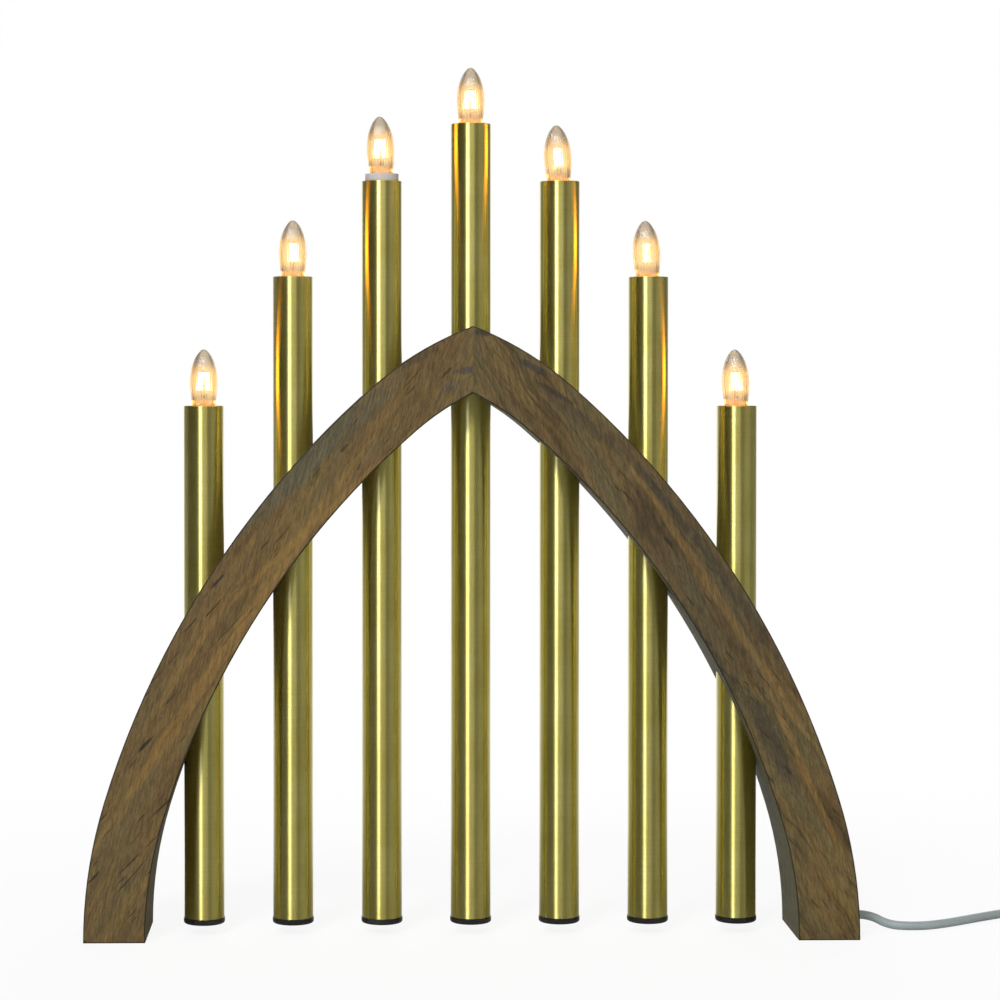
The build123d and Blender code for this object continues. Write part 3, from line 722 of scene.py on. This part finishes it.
@dataclass
class Studio:
    """Camera, pale paper and plain soft light."""

    eye: Point = (-0.0637, -1.5152, 0.3045)
    yaw: float = math.radians(1.208)
    pitch: float = math.radians(0.937)
    focal_px: float = 2749.6
    centre_px: tuple[float, float] = (413.2, 425.4)
    picture_px: float = 1000.0
    sensor: float = 36.0
    middle: Point = (0.0, 0.0, 0.22)
    glow_radius: float = 10.5 * MM
    glow_rise: float = 18.5 * MM
    glow_lift: float = 5.5 * MM
    glow_steps: int = 12
    glow_strength: float = 5.5
    glow_colour: Colour = (1.0, 0.42, 0.05)

    def camera(self) -> None:
        """Puts the camera where the photograph was taken."""
        data = bpy.data.cameras.new("camera")
        data.sensor_width = self.sensor
        data.lens = self.sensor * self.focal_px / self.picture_px
        data.shift_x = 0.5 - self.centre_px[0] / self.picture_px
        data.shift_y = self.centre_px[1] / self.picture_px - 0.5
        data.clip_start, data.clip_end = 0.05, 60.0
        camera = bpy.data.objects.new("camera", data)
        camera.location = self.eye
        camera.rotation_euler = (math.pi / 2 - self.pitch, 0.0, -self.yaw)
        bpy.context.scene.collection.objects.link(camera)
        bpy.context.scene.camera = camera

    def paper(self) -> None:
        """Lays the floor and bends it up behind the object."""
        reach, width, behind, bend, top, steps = 12.0, 9.0, 1.3, 1.4, 5.0, 12
        outline = [(-reach, 0.0), (-1.2, 0.0), (-0.3, 0.0), (behind, 0.0)]
        for step in range(1, steps + 1):
            turn = math.pi / 2 * step / steps
            outline.append((behind + bend * math.sin(turn), bend * (1 - math.cos(turn))))
        outline.append((behind + bend, top))
        body = bmesh.new()
        rows = [[body.verts.new((side * width, y, z)) for side in (-1, 1)] for y, z in outline]
        for lower, upper in zip(rows, rows[1:]):
            body.faces.new((lower[0], lower[1], upper[1], upper[0]))
        paper = MeshMaker.from_bmesh("paper_sweep", body, PaperSweep().material())

    def lamp(self, name: str, place: Point, size: tuple[float, float], power: float,
             colour: Colour = (1.0, 1.0, 1.0), mirrored: bool = True) -> None:
        """Hangs one soft lamp that faces the object's middle.

        Args:
            name: Name of the lamp.
            place: Where it hangs.
            size: Width and height in metres.
            power: Power in watts.
            colour: Its colour.
            mirrored: Whether metal and glass show it.
        """
        data = bpy.data.lights.new(name, "AREA")
        data.shape = "RECTANGLE"
        data.size, data.size_y = size
        data.energy = power
        data.color = colour
        lamp = bpy.data.objects.new(name, data)
        lamp.location = place
        lamp.rotation_euler = (Vector(self.middle) - Vector(place)).to_track_quat("-Z", "Y").to_euler()
        unseen(lamp, "camera")
        lamp.visible_glossy = lamp.visible_transmission = mirrored
        bpy.context.scene.collection.objects.link(lamp)

    def candle_glow(self, lamp: int) -> None:
        """Gives the brass round one bulb a warm glow to mirror, which the camera doesn't see.

        Args:
            lamp: Number of the bulb.
        """
        low, high = (Vector(corner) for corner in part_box(f"bulb_glass_{lamp}"))
        place = Matrix.Translation(low.lerp(high, 0.5) + Vector((0.0, 0.0, self.glow_lift)))
        turns = [math.pi * step / self.glow_steps for step in range(1, self.glow_steps)]
        rounds = [(self.glow_radius * math.sin(turn), -self.glow_rise * math.cos(turn)) for turn in turns]
        outline = [(0.0, -self.glow_rise), *rounds, (0.0, self.glow_rise)]
        body = bmesh.new()
        MeshMaker.add_turned(body, outline, place, 2 * self.glow_steps)
        s = Shader(f"candle_glow_{lamp}")
        light = s.made("ShaderNodeEmission", 0, {"Color": self.glow_colour, "Strength": self.glow_strength})
        inside = s.made("ShaderNodeNewGeometry", "Backfacing")
        clear = s.made("ShaderNodeBsdfTransparent", 0)
        outside = s.made("ShaderNodeMixShader", 0, {0: inside, 1: light, 2: clear})
        glow = MeshMaker.from_bmesh(f"candle_glow_{lamp}", body, s.ended(outside))
        unseen(glow, "camera", "diffuse", "transmission", "shadow")

    def flag(self, name: str, place: Point, size: tuple[float, float], grey: float) -> None:
        """Stands one dark studio flag that only metal and glass can see.

        Args:
            name: Name of the flag.
            place: Its middle.
            size: Width and height in metres.
            grey: How light it is.
        """
        s = Shader(name)
        body = bmesh.new()
        turn = Vector((-place[0], -place[1], 0.0)).to_track_quat("Z", "Y").to_matrix().to_4x4()
        half, rise = size[0] / 2, size[1] / 2
        spots = [(-half, -rise, 0.0), (half, -rise, 0.0), (half, rise, 0.0), (-half, rise, 0.0)]
        body.faces.new([body.verts.new(Vector(place) + turn @ Vector(spot)) for spot in spots])
        material = s.ended(s.made("ShaderNodeBsdfDiffuse", 0, {"Color": (grey, grey, grey)}))
        flag = MeshMaker.from_bmesh(name, body, material)
        unseen(flag, "camera", "shadow", "diffuse")

    def light(self) -> None:
        """Lights the object plainly, with one tall strip for the line along the tubes."""
        world = bpy.data.worlds.new("studio")
        world.use_nodes = True
        back = world.node_tree.nodes["Background"]
        back.inputs["Color"].default_value = (0.24, 0.24, 0.235, 1.0)
        back.inputs["Strength"].default_value = 1.0
        bpy.context.scene.world = world
        self.lamp("key", (-1.05, -2.4, 2.6), (0.8, 1.2), 64.0)
        self.lamp("strip", (-1.04, -2.75, 0.85), (0.6, 2.1), 6.6, (0.95, 1.0, 1.5))
        self.lamp("side", (2.2, -1.2, 0.5), (1.6, 2.8), 2.8, (1.0, 0.98, 0.85))
        self.lamp("fill", (0.1, -2.4, 2.2), (1.6, 1.2), 15.0)
        self.lamp("back", (0.4, 2.3, 1.8), (2.0, 1.4), 30.0, mirrored=False)
        self.flag("left_flag", (-1.5, -0.62, 0.6), (2.3, 2.8), 0.02)


@dataclass
class MainsCord:
    """Thin grey lamp cord from the right leg to its coil and plug."""

    diameter: float = 4.8 * MM
    length: float = 1.528
    mouth: Point = (213.47 * MM, 0.0, 8.4 * MM)
    coil_start: Point = (328.0 * MM, 46.0 * MM, 2.4 * MM)
    outer_radius: float = 40.0 * MM
    gap: float = 0.55 * MM
    turns: float = 7.2
    climb_turns: float = 0.5
    points_per_turn: int = 20
    tail: float = 18.0 * MM
    plug_middle: float = 6.85 * MM
    nudge: float = 0.001
    route: tuple[Point, ...] = (
        (221.2 * MM, 0.0 * MM, 8.4 * MM),
        (231.5 * MM, -0.3 * MM, 2.7 * MM),
        (242.6 * MM, -3.5 * MM, 2.4 * MM),
        (254.4 * MM, -1.8 * MM, 2.4 * MM),
        (267.4 * MM, 5.6 * MM, 2.4 * MM),
        (283.0 * MM, 17.4 * MM, 2.4 * MM),
        (303.0 * MM, 31.6 * MM, 2.4 * MM),
    )

    def pitch(self) -> float:
        """Distance between neighbouring turns."""
        return self.diameter + self.gap

    def coil_point(self, turn: float, swell: float = 1.0) -> Vector:
        """Point of the coil after a number of turns.

        Args:
            turn: Turns from the coil's start.
            swell: Factor on the radius that makes up for a smoothing curve.

        Returns:
            The point in metres.
        """
        heading = (Vector(self.coil_start) - Vector(self.route[-1])).normalized()
        slip = math.atan2(self.pitch(), math.tau * self.outer_radius)
        first = math.atan2(heading.x, -heading.y) + slip
        start = Vector((math.cos(first), math.sin(first), 0.0)) * self.outer_radius
        angle = first - turn * math.tau
        half = self.turns / 2
        radius = self.outer_radius - self.pitch() * (half - abs(turn - half))
        share = min(max((turn - half) / self.climb_turns + 0.5, 0.0), 1.0)
        rise = self.pitch() * share ** 2 * (3 - 2 * share)
        arm = Vector((math.cos(angle), math.sin(angle), 0.0)) * radius * swell
        return Vector(self.coil_start) - start + arm + Vector((0.0, 0.0, rise))

    def points(self) -> list[Vector]:
        """All control points, from the leg to the plug."""
        line = [Vector(self.mouth)] + [Vector(point) for point in self.route]
        count = round(self.turns * self.points_per_turn)
        swell = 1.0 / math.cos(math.pi / self.points_per_turn)
        line += [self.coil_point(self.turns * index / count, swell) for index in range(count + 1)]
        last, before = self.coil_point(self.turns), self.coil_point(self.turns - self.nudge)
        way = (last - before).normalized()
        start = last + way * self.diameter
        drop = Vector((0.0, 0.0, self.plug_middle - start.z))
        run = self.tail / 3
        line += [start, start + way * run, start + way * 2 * run + drop, start + way * 3 * run + drop]
        return line

    def build(self) -> bpy.types.Object:
        """Makes the cord, and dresses the pieces on it."""
        curve = bpy.data.curves.new("mains_cord", "CURVE")
        curve.dimensions = "3D"
        curve.bevel_depth = self.diameter / 2
        curve.bevel_resolution = 5
        curve.resolution_u = 6
        curve.use_fill_caps = True
        spline = curve.splines.new("NURBS")
        line = self.points()
        spline.points.add(len(line) - 1)
        for point, spot in zip(spline.points, line):
            point.co = (*spot, 1.0)
        spline.order_u = 3
        spline.use_endpoint_u = True
        sheath = MouldedPlastic("cord_sheath", (0.35, 0.40, 0.39), (0.28, 0.31, 0.30), 0.42)
        curve.materials.append(sheath.material())
        cord = bpy.data.objects.new("mains_cord", curve)
        bpy.context.scene.collection.objects.link(cord)
        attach(cord, "arch")
        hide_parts("cord_lead", "cord_coil", "cord_tail")
        plug = MouldedPlastic("plug_plastic", (0.37, 0.42, 0.41), (0.30, 0.33, 0.32), 0.4)
        dress(plug.material(), "plug_body", "cord_gland")
        dress(PlainMetal("pin_nickel", (0.70, 0.69, 0.66), 0.22).material(), "plug_pins")
        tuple(self.mouth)
        return cord


def dress(material: bpy.types.Material, *nodes: str) -> None:
    """Gives carried-over nodes their finish.

    Args:
        material: The finish.
        *nodes: Names of the nodes.
    """
    for node in nodes:
        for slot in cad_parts[node].material_slots:
            slot.material = material


@dataclass
class WoodenArch:
    """Four boards mitred at the top, and the dowels across the mitre."""

    chord_lean: float = math.atan2(194.2, 317.3)
    back_shift: float = 0.11
    streak: Colour = (0.300, 0.172, 0.045)
    crack: Colour = (0.026, 0.021, 0.015)
    scratch: Colour = (0.030, 0.024, 0.017)
    left_marks: tuple[Blotch, ...] = (
        Blotch(-3.0, 310.0, 15.0, 4.0, 80.0, 0.7, (0.058, 0.058, 0.056)),
        Blotch(-12.0, 301.0, 13.0, 6.0, 60.0, 0.45, (0.085, 0.075, 0.062)),
        Blotch(-30.0, 317.0, 26.0, 6.0, 62.0, 0.45),
        Blotch(-127.0, 168.0, 280.0, 8.0, 34.0, 0.4, streak),
        Blotch(-80.0, 232.0, 140.0, 5.0, 47.0, 0.4, streak),
        Blotch(-97.0, 255.0, 140.0, 17.0, 48.0, 0.7, (0.098, 0.093, 0.057)),
        Blotch(-151.0, 158.0, 120.0, 3.5, 33.0, 0.35, streak),
        Blotch(-138.0, 196.0, 11.0, 1.7, 42.0, 0.85, crack),
        Blotch(-177.0, 108.0, 12.0, 1.9, 44.0, 0.85, crack),
        Blotch(-165.0, 77.0, 30.0, 1.3, 47.0, 0.7, scratch),
        Blotch(-186.0, 43.0, 16.0, 1.3, 45.0, 0.7, scratch),
        Blotch(-205.0, 36.0, 11.0, 1.6, 42.0, 0.8, crack),
    )
    right_marks: tuple[Blotch, ...] = (
        Blotch(7.0, 331.0, 12.0, 5.0, 90.0, 0.8, (0.036, 0.032, 0.026)),
        Blotch(32.0, 312.0, 22.0, 4.0, -62.0, 0.7, (0.036, 0.040, 0.038)),
        Blotch(44.0, 298.0, 24.0, 3.0, -58.0, 0.6, (0.040, 0.034, 0.026)),
        Blotch(128.0, 194.0, 250.0, 5.0, -33.0, 0.45, streak),
        Blotch(194.0, 32.0, 60.0, 30.0, -8.0, 0.18, streak),
        Blotch(180.0, 93.0, 110.0, 4.0, -24.0, 0.45, streak),
        Blotch(58.0, 284.0, 60.0, 7.0, -50.0, 0.5),
        Blotch(95.0, 250.0, 90.0, 5.0, -38.0, 0.55),
        Blotch(118.0, 170.0, 100.0, 10.0, -36.0, 0.7),
        Blotch(140.0, 192.0, 90.0, 6.0, -34.0, 0.5),
        Blotch(162.0, 110.0, 55.0, 11.0, -25.0, 0.6),
        Blotch(126.0, 197.0, 140.0, 38.0, -34.0, 0.24),
    )

    def build(self) -> None:
        """Dresses the boards, each half with its own grain and marks, and the dowels."""
        halves = {
            "left": StainedPine("stained_pine_front_left", self.chord_lean, 0.31, depth=0.45, tone=0.95,
                                weathered=0.55, blotches=self.left_marks),
            # The right half's sides get a lighter, greyer painted shade.
            "right": StainedPine("stained_pine_front_right", -self.chord_lean, 1.93, depth=1.1, tone=0.88,
                                 weathered=0.9, shaded_side=(0.160, 0.158, 0.102), blotches=self.right_marks),
        }
        for side, front in halves.items():
            back = replace(front, name=f"stained_pine_back_{side}", seed=front.seed + self.back_shift,
                           blotches=())
            dress(front.material(), f"front_{side}_board")
            dress(back.material(), f"back_{side}_board")
        beech = StainedPine("dowel_beech", math.pi / 2, 4.0, brown=(0.60, 0.43, 0.26),
                            orange=(0.66, 0.48, 0.30), green_grey=(0.52, 0.38, 0.24),
                            dark=(0.40, 0.28, 0.17), edge=(0.5, 0.36, 0.2))
        dress(beech.material(), "apex_dowels")


@dataclass
class Wiring:
    """Leads in the channel, shells and contacts in the holders."""

    insulation: MouldedPlastic = MouldedPlastic("lead_insulation", (0.78, 0.78, 0.76), (0.6, 0.6, 0.57), 0.4)
    brass: PlainMetal = PlainMetal("contact_brass", (0.82, 0.62, 0.30), 0.28)

    def build(self) -> None:
        """Dresses the wiring."""
        dress(self.insulation.material(), "series_leads", "return_lead")
        contacts = [f"centre_contact_{lamp}" for lamp in LAMPS]
        dress(self.brass.material(), "screw_shells", "contact_springs", *contacts)


@dataclass
class CandleTubes:
    """Brass tubes with their end caps and lamp holders."""

    brass: BrushedBrass = BrushedBrass()
    white: MouldedPlastic = MouldedPlastic("holder_plastic", (0.56, 0.53, 0.50), (0.44, 0.41, 0.37), 0.4)
    black: MouldedPlastic = MouldedPlastic("cap_plastic", (0.012, 0.012, 0.013), (0.05, 0.05, 0.05),
                                           0.16, 0.6)

    def build(self) -> None:
        """Dresses tubes, holders and caps."""
        dress(self.brass.material(), *[f"tube_{lamp}" for lamp in LAMPS])
        dress(self.white.material(), *[f"lamp_holder_{lamp}" for lamp in LAMPS])
        dress(self.black.material(), "end_caps")


@dataclass
class CandleBulb:
    """One screw-in candle bulb, built on the box of its own nodes."""

    lamp: int
    turn: float
    tilt: float
    radius: float = 7.55 * MM
    height: float = 39.2 * MM
    wall: float = 0.8 * MM
    ribs: int = 36
    rib_depth: float = 0.14 * MM
    shell_rings: int = 44
    strip_radius: float = 0.62 * MM
    strip_spread: float = 2.5 * MM
    strip_close: float = 1.15 * MM
    strip_low_share: float = 0.43
    strip_high_share: float = 0.665
    stem_share: float = 0.30
    wire_rise: float = 1.4 * MM
    wire_bend: float = 0.4
    wire_radius: float = 0.22 * MM
    stem_outline: Line = (
        (0.0, 0.02), (3.4, 0.02), (3.4, 0.8), (2.1, 2.2), (1.3, 4.0), (1.15, 10.4), (0.7, 11.6), (0.0, 11.9))
    thread_depth: float = 0.3 * MM
    thread_lead: float = 1.814 * MM
    base_rings: int = 90
    base_segments: int = 56

    def foot(self, node: str) -> Matrix:
        """Middle of the lower end of one of the bulb's nodes."""
        low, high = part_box(f"{node}_{self.lamp}")
        return Matrix.Translation(((low[0] + high[0]) / 2, (low[1] + high[1]) / 2, low[2]))

    def seat(self) -> Matrix:
        """Foot of the glass, slightly tilted and turned as the bulb is."""
        tilt = Matrix.Rotation(self.tilt, 4, "Y")
        return self.foot("bulb_glass") @ tilt @ Matrix.Rotation(self.turn, 4, "Z")

    def glass(self, recipe: GeometryRecipe, material: bpy.types.Material) -> None:
        """Makes the ribbed shell.

        Args:
            recipe: Recipe of the shell.
            material: Ribbed glass.
        """
        shell = recipe.make(f"bulb_glass_shell_{self.lamp}", material, self.seat(),
                            Radius=self.radius, Height=self.height, Wall=self.wall,
                            Wave_Depth=self.rib_depth, Waves_Around=self.ribs,
                            Rings=self.shell_rings, Segments=4 * self.ribs)
        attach(shell, f"bulb_{self.lamp}")
        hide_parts(f"bulb_glass_{self.lamp}")

    def mount_points(self) -> dict[str, Vector]:
        """Places of the filament mount in the bulb's own frame."""
        low, high = self.height * self.strip_low_share, self.height * self.strip_high_share
        return {
            "stem": Vector((0.0, 0.0, self.stem_share * self.height)),
            "top": Vector((0.0, 0.0, high + self.wire_rise)),
            "left_low": Vector((-self.strip_spread, 0.0, low)),
            "left_high": Vector((-self.strip_close, 0.0, high)),
            "right_low": Vector((self.strip_spread, 0.0, low)),
            "right_high": Vector((self.strip_close, 0.0, high)),
        }

    def filament(self, glow: bpy.types.Material, metal: bpy.types.Material,
                 glass: bpy.types.Material) -> None:
        """Makes the strips, their wires and the glass stem.

        Args:
            glow: Lit phosphor.
            metal: Plated wire.
            glass: Glass of the stem.
        """
        seat = self.seat()
        spots = {name: seat @ point for name, point in self.mount_points().items()}
        strips = bmesh.new()
        for side in ("left", "right"):
            MeshMaker.add_wire(strips, [spots[f"{side}_low"], spots[f"{side}_high"]], self.strip_radius, 12)
        lit = MeshMaker.from_bmesh(f"filament_strips_{self.lamp}", strips, glow)
        wires = bmesh.new()
        for side in ("left", "right"):
            low = spots[f"{side}_low"]
            run = [spots["stem"], low.lerp(spots["stem"], self.wire_bend), low]
            MeshMaker.add_wire(wires, run, self.wire_radius, 8)
            MeshMaker.add_wire(wires, [spots[f"{side}_high"], spots["top"]], self.wire_radius, 8)
        MeshMaker.add_wire(wires, [spots["stem"], spots["top"]], self.wire_radius, 8)
        wire = MeshMaker.from_bmesh(f"filament_wires_{self.lamp}", wires, metal)
        stem = bmesh.new()
        outline = [(radius * MM, height * MM) for radius, height in self.stem_outline]
        MeshMaker.add_turned(stem, outline, seat, 32)
        mount = MeshMaker.from_bmesh(f"filament_stem_{self.lamp}", stem, glass)
        for piece, slot in ((lit, Slot.GLOW), (wire, Slot.BASE), (mount, Slot.GLASS)):
            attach(piece, f"bulb_{self.lamp}")
        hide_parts(f"bulb_filament_{self.lamp}")

    def base(self, recipe: GeometryRecipe, metal: bpy.types.Material) -> None:
        """Makes the threaded base on the box of its own node.

        Args:
            recipe: Recipe of the base.
            metal: Its plating.
        """
        low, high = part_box(f"bulb_base_{self.lamp}")
        place = self.foot("bulb_base") @ Matrix.Rotation(self.turn, 4, "Z")
        base = recipe.make(f"bulb_screw_base_{self.lamp}", metal, place,
                           Radius=(high[0] - low[0]) / 2, Height=high[2] - low[2],
                           Wave_Depth=self.thread_depth, Waves_Around=1,
                           Waves_Along=-math.tau / self.thread_lead,
                           Rings=self.base_rings, Segments=self.base_segments)
        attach(base, f"bulb_{self.lamp}")
        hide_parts(f"bulb_base_{self.lamp}")


def bulbs() -> list[CandleBulb]:
    """The seven bulbs, each screwed home at its own turn, with its own slight tilt."""
    turns = (14.0, 62.0, -12.0, 6.0, 74.0, 84.0, 38.0)
    tilts = (0.0, 0.0, -2.0, -0.3, -3.0, -2.8, -1.8)
    return [CandleBulb(lamp, math.radians(turn), math.radians(tilt))
            for lamp, turn, tilt in zip(LAMPS, turns, tilts)]


def shell_recipe() -> GeometryRecipe:
    """Ribbed candle-shaped glass."""
    return wavy_turning(
        "ribbed_shell",
        radius_line=((0.0, 0.69), (1.0, 0.0), (0.13, 0.81), (0.243, 0.92), (0.368, 0.985), (0.5, 0.93),
                     (0.612, 0.80), (0.748, 0.57), (0.837, 0.39), (0.93, 0.19)),
        height_line=((0.0, 0.0), (1.0, 1.0), (0.13, 0.2), (0.243, 0.36), (0.368, 0.52), (0.5, 0.67),
                     (0.612, 0.78), (0.748, 0.89), (0.837, 0.945), (0.93, 0.986)),
        wave_line=((0.0, 0.0), (1.0, 0.0), (0.04, 0.6), (0.1, 1.0), (0.6, 0.9), (0.88, 0.1)),
        wall_line=((0.0, 0.0), (1.0, 1.0), (0.04, 0.8), (0.1, 1.0), (0.8, 1.0)),
    )


def base_recipe() -> GeometryRecipe:
    """Screw base: solder tip, insulating cone, threaded barrel and collar."""
    return wavy_turning(
        "threaded_base",
        radius_line=((0.0, 0.0), (1.0, 0.0), (0.04, 0.30), (0.10, 0.31), (0.24, 0.85), (0.86, 0.85),
                     (0.90, 0.99), (0.97, 0.99), (0.975, 0.9)),
        height_line=((0.0, 0.0), (1.0, 1.0), (0.04, 0.005), (0.10, 0.06), (0.24, 0.23), (0.86, 0.90),
                     (0.90, 0.915), (0.97, 1.0)),
        wave_line=((0.0, 0.0), (1.0, 0.0), (0.24, 0.0), (0.30, 1.0), (0.78, 1.0), (0.84, 0.0)),
        wall_line=None,
    )


def report(title: str, work: Callable[[], Any]) -> None:
    """Runs one step and logs it.

    Args:
        title: What the step makes.
        work: The step.
    """
    work()
    LOG.info("made %s", title)


def main() -> None:
    """Builds the looks, camera and cord first."""
    logging.basicConfig(level=logging.INFO)
    bpy.context.scene.view_settings.view_transform = "Standard"
    studio = Studio()
    report("camera", studio.camera)
    report("mains cord", MainsCord().build)
    report("paper", studio.paper)
    report("light", studio.light)
    report("wooden arch", WoodenArch().build)
    report("wiring", Wiring().build)
    report("tubes", CandleTubes().build)
    glass = RibbedGlass().material()
    stem = ClearGlass().material()
    glow = GlowingStrip().material()
    nickel = PlainMetal("base_nickel", (0.66, 0.65, 0.62), 0.24).material()
    shell, base = shell_recipe(), base_recipe()
    for bulb in bulbs():
        bulb.glass(shell, glass)
        bulb.filament(glow, nickel, stem)
        bulb.base(base, nickel)
        studio.candle_glow(bulb.lamp)
        LOG.info("made bulb %d", bulb.lamp)


if __name__ == "__main__":
    main()
